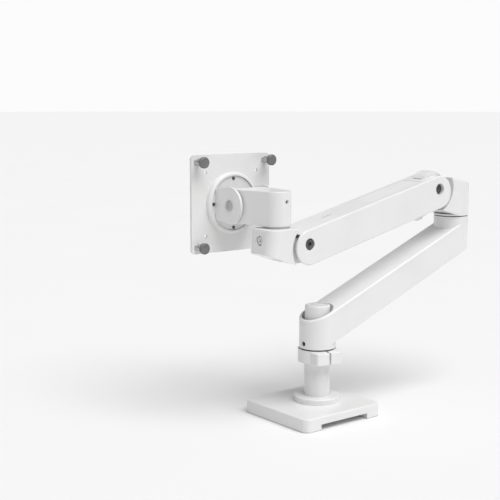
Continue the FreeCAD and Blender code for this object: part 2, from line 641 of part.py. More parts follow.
def make_upper_arm():
    body = new_body()
    side = sketch_on(body, "XZ")
    end = "(upper_rise + upper_fall) / 2"
    stadium(side, "0", end, "upper_length", end, "(upper_rise - upper_fall) / 2")
    pad(body, side, "upper_width", symmetric=True)
    half = number("upper_width / 2")
    round_edges(body, "1.6", lambda e: lies(e, y=(half, half)) or lies(e, y=(-half, -half)))
    floor, roof = "-upper_fall + wall_top", "upper_rise - wall_top"
    inside = [("rear_bottom_open", floor), ("upper_length - front_bottom_open", floor),
              ("upper_length - front_bottom_open", "-40"), ("upper_length + 40", "-40"),
              ("upper_length + 40", "40"),
              ("upper_length + front_top_open", "40"), ("upper_length + front_top_open", roof),
              ("-10", roof), ("-10", "40"), ("-40", "40"), ("-40", "-40"), ("rear_bottom_open", "-40")]
    cut_outline(body, "XZ", inside, "upper_width - 2 * wall_side")
    cut_circles(body, "XZ", [("0", "0")], "barrel_radius + 0.4", "2 * barrel_half + 0.8")
    for x, recess_radius in (("0", "rear_recess"), ("upper_length", "front_recess")):
        for side_name in ("", "-"):
            boss = sketch_on(body, "XZ", side_name + "(boss_start + upper_width / 2 - wall_side / 2) / 2")
            circle(boss, x, "0", "boss_radius")
            pad(body, boss, "upper_width / 2 - wall_side / 2 - boss_start", symmetric=True)
            recess = sketch_on(body, "XZ", side_name + "(recess_floor + 10)")
            circle(recess, x, "0", recess_radius)
            pocket(body, recess, "20")
    cut_circles(body, "XZ", [("0", "0"), ("upper_length", "0")], "6")
    # gauge slot near the front, and the seat of the cable cover near the rear, both in the top face
    cut_outline(body, "XY", rectangle("upper_length - 57", "upper_length - 41", "-1.1", "1.1"), "40",
                symmetric=False,
                reverse=True)
    cut_outline(body, "XY", rectangle("24", "112", "-15", "15"), "0.9", "upper_rise", symmetric=False)
    for x in (40, 96):
        cut_outline(body, "XY", rectangle("%d" % (x - 5), "%d" % (x + 5), "-10", "10"), "10", "upper_rise",
                    symmetric=False)
    return node("upper_arm", in_arm(body))


def make_upper_cover():
    body = new_body()
    pad_outline(body, "XY", rectangle("24.2", "111.8", "-14.8", "14.8", "1.5"), "0.7", "upper_rise - 0.9")
    for x in (40, 96):
        pad_outline(body, "XY", rectangle("%g" % (x - 4.8), "%g" % (x + 4.8), "-9.8", "9.8"),
                    "wall_top + 0.6", "upper_rise - wall_top - 1.5")
    return node("upper_cable_cover", in_arm(body))


def make_cable_clip():
    """A spring clip under the arm that holds a cable against it."""
    body = new_body()
    foot = [("27", "-upper_fall"), ("43", "-upper_fall"),
            ("43", "-upper_fall - 1.6"), ("27", "-upper_fall - 1.6")]
    pad_outline(body, "XZ", foot, "upper_width - 8", symmetric=True)
    lip = [("33.5", "-upper_fall - 1.6"), ("43", "-upper_fall - 1.6"),
           ("43", "-upper_fall - 4.2"), ("35", "-upper_fall - 4.2")]
    pad_outline(body, "XZ", lip, "upper_width - 8", symmetric=True)
    return node("cable_clip", in_arm(body))


def make_pivot_bushes():
    for label, x in (("rear_pivot_bushes", "0"), ("front_pivot_bushes", "upper_length")):
        def bush(sign):
            outer = side_bar("6", "boss_start", "recess_floor", x, "0", sign)
            bore = side_bar("pivot_hole", "boss_start", "recess_floor", x, "0", sign)
            return cut(outer, bore)
        node(label, in_arm(both_sides(bush)))


def make_gas_spring():
    level = "-spring_level"
    barrel = cylinder("spring_radius", "spring_end - spring_start", "spring_start", "0", level, "x")
    stud = cylinder("4", "spring_eye - spring_end - 2", "spring_end", "0", level, "x")
    eye = cylinder("6.5", "9", "spring_eye", "-4.5", level, "y")
    hollow = cylinder("8", "spring_end - spring_start - 10", "spring_start + 5", "0", level, "x")
    gland = cylinder("rod_radius + running_gap", "6", "spring_start - 0.5", "0", level, "x")
    pin_hole = cylinder("3", "12", "spring_eye", "-6", level, "y")
    node("gas_spring_cylinder", in_arm(cut(fuse(barrel, stud, eye), hollow, gland, pin_hole)))


def make_spring_bracket():
    """A clevis under the arm's roof that takes the push of the gas spring."""
    body = new_body()
    cheek = [("spring_eye - 9", "upper_rise - wall_top"), ("spring_eye - 8", "-spring_level - 7", "5"),
             ("spring_eye + 8", "-spring_level - 7", "5"), ("spring_eye + 9", "upper_rise - wall_top")]
    pad_outline(body, "XZ", cheek, "17", symmetric=True)
    gap = rectangle("spring_eye - 20", "spring_eye + 20", "-spring_level - 20", "2")
    cut_outline(body, "XZ", gap, "9.4")
    cut_circles(body, "XZ", [("spring_eye", "-spring_level")], "3")
    node("spring_bracket", in_arm(body))
    node("spring_front_pin", in_arm(group(cylinder("3", "17", "spring_eye", "-8.5", "-spring_level", "y"))))


def make_gas_spring_rod():
    level = "-spring_level"
    rod = cylinder("rod_radius", "spring_start + 30 - rod_eye", "rod_eye", "0", level, "x")
    piston = cylinder("7.9", "6", "spring_start + 28", "0", level, "x")
    eye = cylinder("6", "10", "rod_eye", "-5", level, "y")
    hole = cylinder("3.8", "12", "rod_eye", "-6", level, "y")
    node("gas_spring_rod", in_arm(cut(fuse(rod, piston, eye), hole)))


# ---------------------------------------------------------------- parallel link

def make_parallel_links():
    """Two flat bars that keep the front knuckle upright, drawn from their rear pivot."""
    def one(sign):
        near, far = "link_start", "link_start + link_thickness"
        middle = "(%s + %s) / 2" % (near, far)
        body = new_body()
        sketch = sketch_on(body, "XZ", "%s(%s)" % (sign, middle))
        outline(sketch, rectangle("0", "upper_length", "-link_half_height", "link_half_height"))
        pad(body, sketch, "link_thickness", symmetric=True)
        for x in ("0", "upper_length"):
            end = sketch_on(body, "XZ", "%s(%s)" % (sign, middle))
            circle(end, x, "0", "link_eye")
            pad(body, end, "link_thickness", symmetric=True)
        cut_circles(body, "XZ", [("0", "0")], "link_pin + running_gap")
        cut_circles(body, "XZ", [("upper_length", "0")], "link_pin + 0.35")
        return body
    links = both_sides(one)
    place(links, "pivot_x", "0", "pivot_level - link_drop", Vector(0, 1, 0), "upper_slope")
    return node("parallel_links", links)


# ---------------------------------------------------------------- front knuckle

def make_front_knuckle():
    body = new_body()
    side = [("front_x + 6", "front_bottom_arm"), ("front_end", "front_bottom_end"),
            ("front_end - front_lean", "front_top"), ("front_x + 6", "front_top")]
    pad_outline(body, "XZ", side, "2 * front_half", symmetric=True)
    end, top = number("front_end - front_lean"), number("front_top")
    round_edges(body, "front_corner", lambda e: e.BoundBox.XMin > end - 0.1 and e.BoundBox.ZLength > 20)
    round_edges(body, "1.2", lambda e: lies(e, z=(top, top)) and e.BoundBox.XMax > end - 20)
    cut_circles(body, "XZ", [("front_x - 5.4", "front_level - 5")], "front_hollow")
    tongue = [("front_x - 9", "front_level - 22", "8"), ("front_x + 14", "front_level - 22"),
              ("front_x + 30", "front_level - 17"), ("front_x + 30", "front_level + 7"),
              ("front_x - 9", "front_level + 7", "7")]
    pad_outline(body, "XZ", tongue, "2 * tongue_half", symmetric=True)
    cut_circles(body, "XZ", [("front_x", "front_level")], "pivot_bolt")
    cut_circles(body, "XZ", [("front_x", "front_level - link_drop")], "link_pin")
    cut_circles(body, "XY", [("swivel_x", "0")], "pan_shaft", "60", "front_level - 4", symmetric=False,
                reverse=True)
    cut_circles(body, "XY", [("swivel_x", "0")], "3.1")
    cut_circles(body, "XY", [("swivel_x", "0")], "7", "60", "front_level - 9", symmetric=False)
    cut_circles(body, "YZ", [("0", "(front_bottom_end + front_top) / 2 + 1")], "6", "40", "front_end - 6",
                symmetric=False, reverse=True)
    cut_circles(body, "YZ", [("0", "(front_bottom_end + front_top) / 2 + 1")], "2.5", "14", "front_end - 18",
                symmetric=False, reverse=True)
    return node("front_knuckle", body)


def make_front_pivots():
    pivot_bolts("front_pivot_bolts", "front_x", "front_level", "6.3", "21.2", True)
    reach = "link_start + link_thickness + 0.2"
    node("front_link_pins", both_sides(lambda side: side_bar(
        "link_pin", "2", reach, "front_x", "front_level - link_drop", side)))


def make_pan_pieces():
    z = "(front_bottom_end + front_top) / 2 + 1"
    shaft = cylinder("pan_shaft", "head_top - 12 - front_level + 4", "swivel_x", "0", "front_level - 4")
    node("pan_shaft", cut(shaft, cylinder("3", "12", "swivel_x", "0", "front_level - 4")))
    head = cylinder("6", "4", "swivel_x", "0", "front_level - 13")
    shank = cylinder("3", "15", "swivel_x", "0", "front_level - 9")
    node("pan_lock_screw", cut(fuse(head, shank), hexagon("2.6", "2.4", "swivel_x", "0", "front_level - 13")))
    node("pan_washer", tube("14", "pan_shaft", "head_bottom - front_top", "swivel_x", "0", "front_top"))
    stop_head = cylinder("4.4", "3", "front_end - 6", "0", z, "x")
    stop_shank = cylinder("2.5", "12", "front_end - 18", "0", z, "x")
    stop_socket = hexagon("2.2", "2", "front_end - 5", "0", z, "x")
    node("pan_stop_screw", cut(fuse(stop_head, stop_shank), stop_socket))


# ---------------------------------------------------------------- pan head

HEAD_SCREW_BEARING = 95  # degrees from +X, as seen from above


def on_bearing(obj, start="0"):
    """Lay an upright piece down at the pan head's set screw: radial, a distance out from the swivel axis."""
    turn = math.radians(HEAD_SCREW_BEARING)
    x = "swivel_x + (%s) * cos(%d)" % (start, HEAD_SCREW_BEARING)
    y = "(%s) * sin(%d)" % (start, HEAD_SCREW_BEARING)
    return place(obj, x, y, "head_top - 11.6", Vector(-math.sin(turn), math.cos(turn), 0), "90")


def make_pan_head():
    body = new_body()
    half_height, level = "(head_top - head_bottom) / 2", "(head_top + head_bottom) / 2"
    side = sketch_on(body, "YZ")
    stadium(side, "tilt_y", half_height, "head_round + 40", half_height, level)
    pad(body, side, "swivel_x + head_half")
    taper = "(head_half - head_round * 1.015) / 42"
    narrow = "(head_round * 1.015 - %s * head_round)" % taper
    plan = [("swivel_x - head_half", "-100"), ("swivel_x + head_half", "-100"),
            ("swivel_x + head_half", "-42", "30"),
            ("swivel_x + " + narrow, "head_round", "head_round - 0.4"),
            ("swivel_x - " + narrow, "head_round", "head_round - 0.4"), ("swivel_x - head_half", "-42", "30")]
    trim(body, "XY", plan)
    top = number("head_top")
    round_edges(body, "1.4", lambda e: lies(e, z=(top, top)) and e.BoundBox.YLength > 0.1)
    cut_circles(body, "XY", [("swivel_x", "0")], "10", "60", "head_top - 9", symmetric=False)
    cut_circles(body, "YZ", [("tilt_y", "(head_top + head_bottom) / 2")], "7")
    return node("pan_head", cut(body, on_bearing(cylinder("set_screw", "head_round + 4"))))


def make_head_pieces():
    level = "(head_top + head_bottom) / 2"
    node("pan_bush", tube("10", "pan_shaft + running_gap", "head_top - 11 - head_bottom", "swivel_x", "0",
                          "head_bottom"))
    for label, x in (("tilt_bush_left", "swivel_x - head_half"),
                     ("tilt_bush_right", "swivel_x + head_half - 12")):
        node(label, tube("7", "tilt_shaft + running_gap", "12", x, "tilt_y", level, "x"))
    screw = on_bearing(cylinder("set_screw", "head_round - 10.9"), "10")
    node("pan_set_screw", cut(screw, on_bearing(hexagon("set_screw * 0.6", "2"), "head_round - 2.9")))


# ---------------------------------------------------------------- tilt yoke

def make_tilt_yoke():
    body = new_body()
    level = "(head_top + head_bottom) / 2"
    back, front = "lip_front + 0.1", "disc_front"
    pad_circle(body, "XZ", "swivel_x", level, "disc_radius", "(%s) - (%s)" % (front, back), "-(%s)" % front)
    for sign in ("+", "-"):
        middle = "swivel_x %s (ear_inner + ear_thickness / 2)" % sign
        root = sketch_on(body, "YZ", middle)
        outline(root, [(back, level + " - 17"), ("tilt_y", level + " - ear_radius + 0.2"),
                       ("tilt_y", level + " + ear_radius - 0.2"), (back, level + " + 17")])
        pad(body, root, "ear_thickness", symmetric=True)
        tip = sketch_on(body, "YZ", middle)
        circle(tip, "tilt_y", level, "ear_radius")
        pad(body, tip, "ear_thickness", symmetric=True)
    cut_circles(body, "YZ", [("tilt_y", level)], "tilt_shaft")
    screws = [("swivel_x + rotor_screw_circle * cos(%d)" % a, level + " + rotor_screw_circle * sin(%d)" % a)
              for a in (0, 90, 180, 270)]
    cut_circles(body, "XZ", screws, "1.3", "60", "80", symmetric=True)
    return node("tilt_yoke", body)


def make_tilt_pieces():
    level = "(head_top + head_bottom) / 2"
    outer = "(ear_inner + ear_thickness)"
    shaft = cylinder("tilt_shaft", "2 * " + outer, "swivel_x - " + outer, "tilt_y", level, "x")
    head = cylinder("6.3", "1.6", "swivel_x + " + outer, "tilt_y", level, "x")
    end = hexagon("7.5", "4", "swivel_x - %s - 4" % outer, "tilt_y", level, "x")
    socket = hexagon("3.4", "4", "swivel_x + %s - 2.4" % outer, "tilt_y", level, "x")
    thread = cylinder("3", "4.6", "swivel_x - %s - 4.6" % outer, "tilt_y", level, "x")
    node("tilt_bolt", cut(fuse(shaft, head, thread), socket))
    node("tilt_nut", cut(end, cylinder("3", "4", "swivel_x - %s - 4" % outer, "tilt_y", level, "x")))
    for label, x in (("tilt_washer_left", "swivel_x - ear_inner"),
                     ("tilt_washer_right", "swivel_x + head_half")):
        node(label, tube("16", "tilt_shaft", "ear_inner - head_half", x, "tilt_y", level, "x"))


# ---------------------------------------------------------------- rotor and display plate

def ring_along_y(outer, inner, near, far):
    """A ring about the plate's centre between two Y positions."""
    level = "(head_top + head_bottom) / 2"
    return tube(outer, inner, "(%s) - (%s)" % (far, near), "swivel_x", near, level, "y")


def make_rotor():
    level = "(head_top + head_bottom) / 2"
    screws = [("swivel_x + rotor_screw_circle * cos(%d)" % a, level + " + rotor_screw_circle * sin(%d)" % a)
              for a in (0, 90, 180, 270)]
    back = cylinder("rotor_radius", "lip_back - 0.8 - rotor_back", "swivel_x", "rotor_back", level, "y")
    spigot = cylinder("lip_inner - running_gap", "lip_front + 0.1 - lip_back + 0.8", "swivel_x",
                      "lip_back - 0.8", level, "y")
    holes = [cylinder("1.3", "8", x, "rotor_back - 1", z, "y") for x, z in screws]
    core = cylinder("12", "8", "swivel_x", "rotor_back - 1", level, "y")
    node("rotation_rotor", cut(fuse(back, spigot), core, *holes))
    bolts = []
    for x, z in screws:
        shank = cylinder("1.3", "disc_front - rotor_back - 0.6", x, "rotor_back + 0.6", z, "y")
        head = cylinder("1.95", "0.9", x, "disc_front", z, "y")
        bolts.append(cut(fuse(shank, head), hexagon("1", "0.8", x, "disc_front + 0.1", z, "y")))
    node("rotor_screws", group(*bolts))
    node("rotation_washer", ring_along_y("rotor_radius", "lip_inner - running_gap", "lip_back - 0.8",
                                         "lip_back - 0.05"))


def make_vesa_plate():
    body = new_body()
    level = "(head_top + head_bottom) / 2"
    half = "plate_size / 2"
    square = rectangle("swivel_x - " + half, "swivel_x + " + half, level + " - " + half, level + " + " + half,
                       "plate_corner")
    pad_outline(body, "XZ", square, "plate_front - plate_back", "-plate_front")
    pad_circle(body, "XZ", "swivel_x", level, "ring_radius", "ring_front - plate_front + 0.5", "-ring_front")
    front = number("ring_front")
    round_edges(body, "3.2", lambda e: lies(e, y=(front, front)))
    cut_circles(body, "XZ", [("swivel_x", level)], "ring_inner", "20", "-lip_front", symmetric=False)
    cut_circles(body, "XZ", [("swivel_x", level)], "lip_inner", "60", "-plate_back + 10", symmetric=True)
    cut_circles(body, "XZ", [("swivel_x", level)], "rotor_radius + 0.4", "20", "-lip_back", symmetric=False,
                reverse=True)
    for spacing in ("vesa_large", "vesa_small"):
        centres = [("swivel_x %s %s / 2" % (a, spacing), "%s %s %s / 2" % (level, b, spacing))
                   for a in "+-" for b in "+-"]
        cut_circles(body, "XZ", centres, "vesa_hole", "40", "-plate_back")
    return node("vesa_plate", body)


def make_thumbscrews():
    level = "(head_top + head_bottom) / 2"
    screws = []
    for a in "+-":
        for b in "+-":
            x, z = "swivel_x %s vesa_large / 2" % a, "%s %s vesa_large / 2" % (level, b)
            thread = cylinder("2", "thumb_thread", x, "plate_back - thumb_thread", z, "y")
            shoulder = cylinder("thumb_shoulder", "plate_front - plate_back", x, "plate_back", z, "y")
            collar = cylinder("thumb_stem + 0.5", "1", x, "plate_front", z, "y")
            stem = cylinder("thumb_stem", "thumb_front - thumb_head - plate_front", x, "plate_front", z, "y")
            head = cylinder("thumb_radius", "thumb_head - 0.5", x, "thumb_front - thumb_head", z, "y")
            crown = cone("thumb_radius", "thumb_radius - 0.6", "0.5", x, "thumb_front - 0.5", z, "y")
            screws.append(fuse(thread, shoulder, collar, stem, head, crown))
    return node("thumbscrews", group(*screws))


# ---------------------------------------------------------------- build, test and export

make_base_plate()
make_base_pad()
make_desk_insert()
make_pole_flange()
make_flange_screws()
make_pole()
make_pole_cap()
make_height_collar()
make_collar_screw()
make_thrust_washer()
make_lower_arm()
make_hub_bushes()
make_hub_screw()
make_lower_cover()
make_elbow_bushes()
make_elbow_knuckle()
make_elbow_shaft()
make_elbow_lock()
make_rear_pivots()
make_upper_arm()
make_upper_cover()
make_cable_clip()
make_pivot_bushes()
make_gas_spring()
make_spring_bracket()
make_gas_spring_rod()
make_parallel_links()
make_front_knuckle()
make_front_pivots()
make_pan_pieces()
make_pan_head()
make_head_pieces()
make_tilt_yoke()
make_tilt_pieces()
make_rotor()
make_vesa_plate()
make_thumbscrews()
doc.recompute()

for obj in doc.Objects:
    if "Invalid" in obj.State or "Error" in obj.State:
        raise RuntimeError("%s (%s) failed: %s" % (obj.Label, obj.TypeId, obj.State))

os.makedirs("parts", exist_ok=True)
for piece in NODES:
    shape = piece.Shape
    if shape.isNull() or not shape.isValid() or not shape.Solids:
        raise RuntimeError("%s has no valid solid" % piece.Label)
    shape.exportStep(os.path.join("parts", piece.Label + ".step"))
    box = shape.BoundBox
    print("%-22s %2d solid %10.0f mm3  x %7.1f %7.1f  y %7.1f %7.1f  z %7.1f %7.1f" % (
        piece.Label, len(shape.Solids), shape.Volume, box.XMin, box.XMax, box.YMin, box.YMax, box.ZMin,
        box.ZMax))
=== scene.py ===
import json
import math

import bmesh
import bpy
from mathutils import Matrix, Vector


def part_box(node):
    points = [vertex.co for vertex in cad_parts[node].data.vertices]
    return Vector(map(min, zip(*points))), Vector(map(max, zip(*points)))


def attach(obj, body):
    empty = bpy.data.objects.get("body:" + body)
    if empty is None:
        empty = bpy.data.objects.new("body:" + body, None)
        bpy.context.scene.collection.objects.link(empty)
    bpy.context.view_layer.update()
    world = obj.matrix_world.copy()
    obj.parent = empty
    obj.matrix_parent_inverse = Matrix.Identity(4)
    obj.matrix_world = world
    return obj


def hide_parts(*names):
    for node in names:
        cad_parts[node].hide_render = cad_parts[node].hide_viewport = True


# Desk monitor arm.  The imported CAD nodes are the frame.  This script gives each of them its finish, builds
# the visible screws again with knurls, threads, chamfers and sockets, and sets up floor, light and camera.
# Lengths in the finishes, floor and camera are metres.  Lengths in the turned pieces are millimetres.

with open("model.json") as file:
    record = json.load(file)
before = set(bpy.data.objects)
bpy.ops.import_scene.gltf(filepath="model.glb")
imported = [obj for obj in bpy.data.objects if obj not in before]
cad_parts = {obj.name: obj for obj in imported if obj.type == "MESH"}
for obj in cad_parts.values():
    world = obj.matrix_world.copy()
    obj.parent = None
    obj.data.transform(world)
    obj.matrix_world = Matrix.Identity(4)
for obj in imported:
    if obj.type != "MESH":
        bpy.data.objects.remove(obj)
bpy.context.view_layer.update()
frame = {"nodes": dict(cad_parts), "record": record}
nodes = frame["nodes"]

MM = 0.001

# the display screws: spacing, head, stem and the shoulder in the plate
SCREW_SPACING = 100.0
THUMB_RADIUS = 6.7
STEM_RADIUS = 4.2
SHOULDER_RADIUS = 2.15
PLATE_THICKNESS = 3.0
KNURL_DEPTH = 0.38
KNURL_TEETH = 34
KNURL_LEAD = 7.5

# the pivots' shoulder bolts: shank, and where the head meets the floor of the arm's recess
PIVOT_SHANK = 4.0
RECESS_FLOOR = 17.0

# the height collar's screw: the collar's slant about the pole, and the screw's distance from the pole's axis
COLLAR_TURN = math.radians(-10)
COLLAR_SCREW_AWAY = 22.5

# light: the sky as a lamp and as it is seen, the broad key light and the one above, each with its spread
LIT_BY_SKY = 0.16
SEEN_SKY = 0.97
KEY_LIGHT = 2.3
KEY_FROM = (-0.05, 0.48, 0.87)
KEY_SPREAD = 50.0
TOP_LIGHT = 0.8
TOP_SPREAD = 120.0

# camera: its place, its downward tilt and its turn about +Z in degrees, and its lens in millimetres
CAMERA_PLACE = (0.816085, 0.915336, 0.369593)
CAMERA_TILT = 8.021
CAMERA_TURN = 142.021
CAMERA_LENS = 75.65


# ---------------------------------------------------------------- shader helpers

def new_material(name):
    material = bpy.data.materials.new(name)
    material.use_nodes = True
    tree = material.node_tree
    return material, tree, tree.nodes["Principled BSDF"]


def add(tree, kind, **settings):
    node = tree.nodes.new(kind)
    for name, value in settings.items():
        setattr(node, name, value)
    return node


def place_coordinates(tree, stretch=(1, 1, 1)):
    """The surface point in metres on the object's own axes, stretched for brushed or drawn finishes."""
    source = add(tree, "ShaderNodeTexCoord").outputs["Object"]
    if stretch == (1, 1, 1):
        return source
    mapping = add(tree, "ShaderNodeMapping")
    mapping.inputs["Scale"].default_value = stretch
    tree.links.new(source, mapping.inputs["Vector"])
    return mapping.outputs["Vector"]


def noise(tree, scale, detail=3.0, stretch=(1, 1, 1), roughness=0.5):
    texture = add(tree, "ShaderNodeTexNoise")
    texture.inputs["Scale"].default_value = scale
    texture.inputs["Detail"].default_value = detail
    texture.inputs["Roughness"].default_value = roughness
    tree.links.new(place_coordinates(tree, stretch), texture.inputs["Vector"])
    return texture.outputs["Fac"]


def cells(tree, scale):
    """A random grey for each cell of a crystal pattern, such as the spangle of zinc plating."""
    texture = add(tree, "ShaderNodeTexVoronoi")
    texture.inputs["Scale"].default_value = scale
    tree.links.new(place_coordinates(tree), texture.inputs["Vector"])
    return texture.outputs["Color"]


def spread(tree, value, low, high, to_low, to_high):
    """Carry values between low and high to the range to_low to to_high."""
    node = add(tree, "ShaderNodeMapRange")
    for socket, number in (("From Min", low), ("From Max", high), ("To Min", to_low), ("To Max", to_high)):
        node.inputs[socket].default_value = number
    tree.links.new(value, node.inputs["Value"])
    return node.outputs["Result"]


def blend_colours(tree, factor, first, second):
    """Mix two colours.  Each is a colour or another node's output."""
    node = add(tree, "ShaderNodeMix", data_type="RGBA")
    for socket, colour in ((node.inputs[6], first), (node.inputs[7], second)):
        if isinstance(colour, tuple):
            socket.default_value = (*colour, 1.0)
        else:
            tree.links.new(colour, socket)
    tree.links.new(factor, node.inputs[0])
    return node.outputs[2]


def product(tree, first, second):
    node = add(tree, "ShaderNodeMath", operation="MULTIPLY", use_clamp=True)
    tree.links.new(first, node.inputs[0])
    tree.links.new(second, node.inputs[1])
    return node.outputs[0]


def soft_edges(tree, radius):
    """The normal that a small edge radius would give."""
    node = add(tree, "ShaderNodeBevel", samples=4)
    node.inputs["Radius"].default_value = radius
    return node.outputs["Normal"]


# Edge mask: rubbed wear on the metal, rubber and bearing plastic, and a painted highlight on the white paint
# and white moulding.
def edge_wear_and_highlight(tree, radius, grain):
    """1 along exposed and inner edges and 0 elsewhere, broken up by noise."""
    turned_normal = soft_edges(tree, radius)
    true_normal = add(tree, "ShaderNodeNewGeometry").outputs["True Normal"]
    cosine = add(tree, "ShaderNodeVectorMath", operation="DOT_PRODUCT")
    tree.links.new(turned_normal, cosine.inputs[0])
    tree.links.new(true_normal, cosine.inputs[1])
    edge = spread(tree, cosine.outputs["Value"], 0.995, 0.86, 0.0, 1.0)
    return product(tree, edge, spread(tree, noise(tree, grain, 4.0), 0.38, 0.62, 0.0, 1.0))


def bumped(tree, height, depth, normal=None):
    """Raise the surface by height times a depth in metres."""
    node = add(tree, "ShaderNodeBump")
    node.inputs["Strength"].default_value = 1.0
    node.inputs["Distance"].default_value = depth
    tree.links.new(height, node.inputs["Height"])
    if normal is not None:
        tree.links.new(normal, node.inputs["Normal"])
    return node.outputs["Normal"]


def finish_shader(tree, bsdf, colour, roughness, normal):
    tree.links.new(colour, bsdf.inputs["Base Color"])
    tree.links.new(roughness, bsdf.inputs["Roughness"])
    tree.links.new(normal, bsdf.inputs["Normal"])


# ---------------------------------------------------------------- finishes

def powder_coat(name, light, shade, edge):
    """Satin white powder coat: soft orange peel, faint clouding, fine specks and edges lightened as a
    painted highlight.
    """
    material, tree, bsdf = new_material(name)
    clouds = spread(tree, noise(tree, 22.0, 3.0), 0.35, 0.65, 0.0, 1.0)
    base = blend_colours(tree, clouds, light, shade)
    specks = spread(tree, noise(tree, 2600.0, 1.0), 0.70, 0.78, 0.0, 0.22)
    base = blend_colours(tree, specks, base, tuple(0.80 * c for c in shade))
    # painted highlight: the edges are lightened toward the edge colour
    wear_and_highlight = edge_wear_and_highlight(tree, 0.5 * MM, 260.0)
    colour = blend_colours(tree, spread(tree, wear_and_highlight, 0.0, 1.0, 0.0, 0.55), base, edge)
    roughness = spread(tree, noise(tree, 140.0, 4.0), 0.3, 0.7, 0.30, 0.42)
    peel = bumped(tree, noise(tree, 900.0, 2.0), 0.018 * MM, soft_edges(tree, 0.45 * MM))
    normal = bumped(tree, noise(tree, 120.0, 2.0), 0.03 * MM, peel)
    bsdf.inputs["Specular IOR Level"].default_value = 0.5
    bsdf.inputs["Coat Weight"].default_value = 0.12
    bsdf.inputs["Coat Roughness"].default_value = 0.25
    finish_shader(tree, bsdf, colour, roughness, normal)
    return material


# the last colour of each white powder coat is its painted edge highlight
def white_paint():
    return powder_coat("white_paint", (0.855, 0.855, 0.85), (0.82, 0.822, 0.82), (0.93, 0.93, 0.925))


def white_cast():
    return powder_coat("white_cast", (0.86, 0.86, 0.857), (0.828, 0.83, 0.828), (0.93, 0.93, 0.925))


def white_plastic():
    """White moulding with a fine spark-eroded grain and a little flow marking."""
    material, tree, bsdf = new_material("white_plastic")
    flow = spread(tree, noise(tree, 12.0, 2.0, (1, 6, 6)), 0.35, 0.65, 0.0, 1.0)
    base = blend_colours(tree, flow, (0.855, 0.856, 0.853), (0.82, 0.821, 0.818))
    # painted highlight: the edges are lightened toward a paler white
    wear_and_highlight = edge_wear_and_highlight(tree, 0.4 * MM, 300.0)
    colour = blend_colours(tree, spread(tree, wear_and_highlight, 0.0, 1.0, 0.0, 0.4), base, (0.92, 0.92, 0.918))
    roughness = spread(tree, noise(tree, 400.0, 3.0), 0.3, 0.7, 0.40, 0.52)
    normal = bumped(tree, noise(tree, 2600.0, 2.0), 0.012 * MM, soft_edges(tree, 0.4 * MM))
    bsdf.inputs["Subsurface Weight"].default_value = 0.05
    bsdf.inputs["Subsurface Radius"].default_value = (0.7 * MM, 0.7 * MM, 0.7 * MM)
    finish_shader(tree, bsdf, colour, roughness, normal)
    return material


def pad_rubber():
    """Pale grey rubber with a cloudy bloom and a fine cast grain."""
    material, tree, bsdf = new_material("pad_rubber")
    bloom = spread(tree, noise(tree, 60.0, 5.0), 0.35, 0.7, 0.0, 1.0)
    base = blend_colours(tree, bloom, (0.60, 0.60, 0.60), (0.70, 0.70, 0.70))
    wear_and_highlight = edge_wear_and_highlight(tree, 0.3 * MM, 240.0)
    colour = blend_colours(tree, wear_and_highlight, base, (0.76, 0.76, 0.75))
    roughness = spread(tree, noise(tree, 500.0, 3.0), 0.3, 0.7, 0.72, 0.88)
    normal = bumped(tree, noise(tree, 1500.0, 3.0), 0.04 * MM, soft_edges(tree, 0.3 * MM))
    bsdf.inputs["Specular IOR Level"].default_value = 0.3
    finish_shader(tree, bsdf, colour, roughness, normal)
    return material


def dark_steel():
    """Blackened steel: oily mottling, fine turning marks and edges rubbed bright."""
    material, tree, bsdf = new_material("dark_steel")
    mottle = spread(tree, noise(tree, 420.0, 4.0), 0.3, 0.7, 0.0, 1.0)
    base = blend_colours(tree, mottle, (0.085, 0.085, 0.089), (0.145, 0.144, 0.146))
    wear_and_highlight = edge_wear_and_highlight(tree, 0.2 * MM, 900.0)
    colour = blend_colours(tree, spread(tree, wear_and_highlight, 0.0, 1.0, 0.0, 0.8), base, (0.32, 0.31, 0.30))
    roughness = spread(tree, noise(tree, 900.0, 3.0), 0.3, 0.7, 0.34, 0.50)
    normal = bumped(tree, noise(tree, 1300.0, 3.0, (1, 4, 1)), 0.01 * MM, soft_edges(tree, 0.2 * MM))
    bsdf.inputs["Metallic"].default_value = 0.5
    finish_shader(tree, bsdf, colour, roughness, normal)
    return material


def bright_steel():
    """Zinc-plated steel: small spangle, drawn lines and a slightly blue-grey sheen."""
    material, tree, bsdf = new_material("bright_steel")
    spangle = blend_colours(tree, cells(tree, 700.0), (0.49, 0.495, 0.50), (0.60, 0.60, 0.605))
    dull = spread(tree, noise(tree, 90.0, 5.0), 0.35, 0.7, 0.0, 0.5)
    base = blend_colours(tree, dull, spangle, (0.42, 0.42, 0.415))
    wear_and_highlight = edge_wear_and_highlight(tree, 0.25 * MM, 700.0)
    colour = blend_colours(tree, spread(tree, wear_and_highlight, 0.0, 1.0, 0.0, 0.7), base, (0.78, 0.78, 0.77))
    roughness = spread(tree, noise(tree, 350.0, 4.0, (1, 5, 1)), 0.3, 0.7, 0.24, 0.42)
    normal = bumped(tree, noise(tree, 1100.0, 3.0, (1, 6, 1)), 0.008 * MM, soft_edges(tree, 0.25 * MM))
    bsdf.inputs["Metallic"].default_value = 1.0
    finish_shader(tree, bsdf, colour, roughness, normal)
    return material


def grey_screw():
    """Grey nickel-look finish on the knurled screws, with dull hollows and rubbed crests."""
    material, tree, bsdf = new_material("grey_screw")
    mottle = spread(tree, noise(tree, 380.0, 4.0), 0.3, 0.7, 0.0, 1.0)
    base = blend_colours(tree, mottle, (0.165, 0.165, 0.168), (0.225, 0.225, 0.228))
    wear_and_highlight = edge_wear_and_highlight(tree, 0.2 * MM, 800.0)
    colour = blend_colours(tree, spread(tree, wear_and_highlight, 0.0, 1.0, 0.0, 0.6), base, (0.42, 0.42, 0.42))
    roughness = spread(tree, noise(tree, 700.0, 3.0), 0.3, 0.7, 0.38, 0.54)
    normal = bumped(tree, noise(tree, 1600.0, 3.0), 0.01 * MM, soft_edges(tree, 0.15 * MM))
    bsdf.inputs["Metallic"].default_value = 0.25
    finish_shader(tree, bsdf, colour, roughness, normal)
    return material


